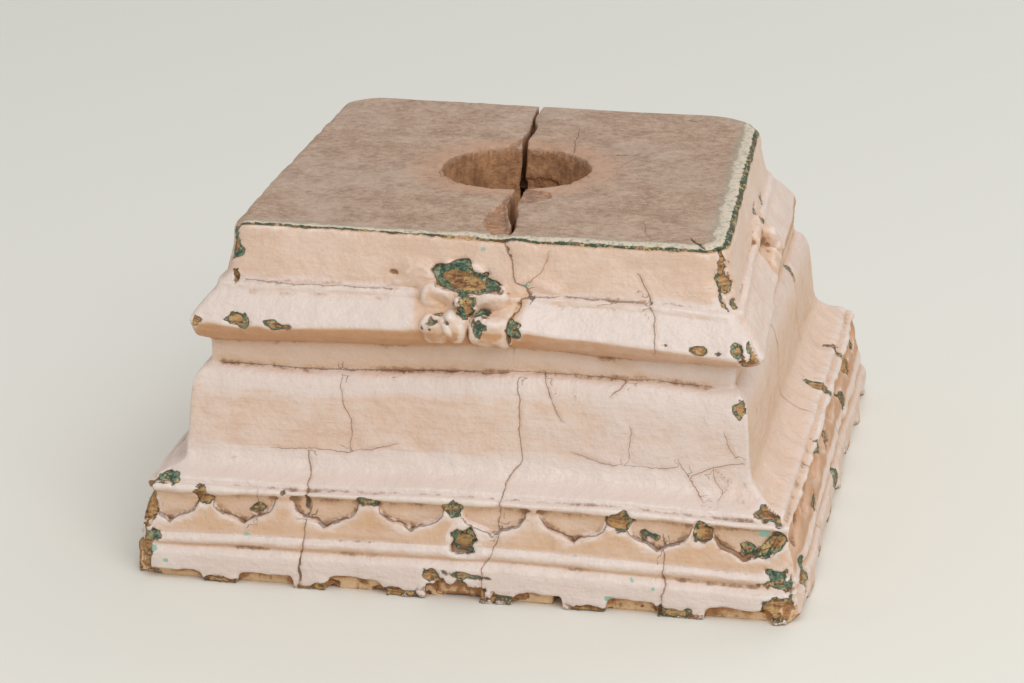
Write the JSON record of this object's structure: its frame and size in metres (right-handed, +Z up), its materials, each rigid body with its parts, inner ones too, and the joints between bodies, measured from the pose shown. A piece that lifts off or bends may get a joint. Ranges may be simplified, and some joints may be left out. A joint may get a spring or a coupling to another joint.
{
  "type": "column base",
  "caption": "Square carved wooden column base with stacked mouldings, a leaf band, a scalloped foot, a flower on each side and a round mortise in its worn top.",
  "frame": {"origin": "middle of the underside, on the surface that the base stands on", "axes": "+Z up along the column's axis, -Y towards the front that the picture shows, +X to the viewer's right"},
  "size_m": [0.3, 0.3, 0.156],
  "materials": {
    "painted_wood": "thick semi-matt pink paint over older green paint, chipped to bare hardwood, with bare weathered end grain on top"
  },
  "bodies": {
    "root": {"column_base": "painted_wood"}
  },
  "joints": []
}
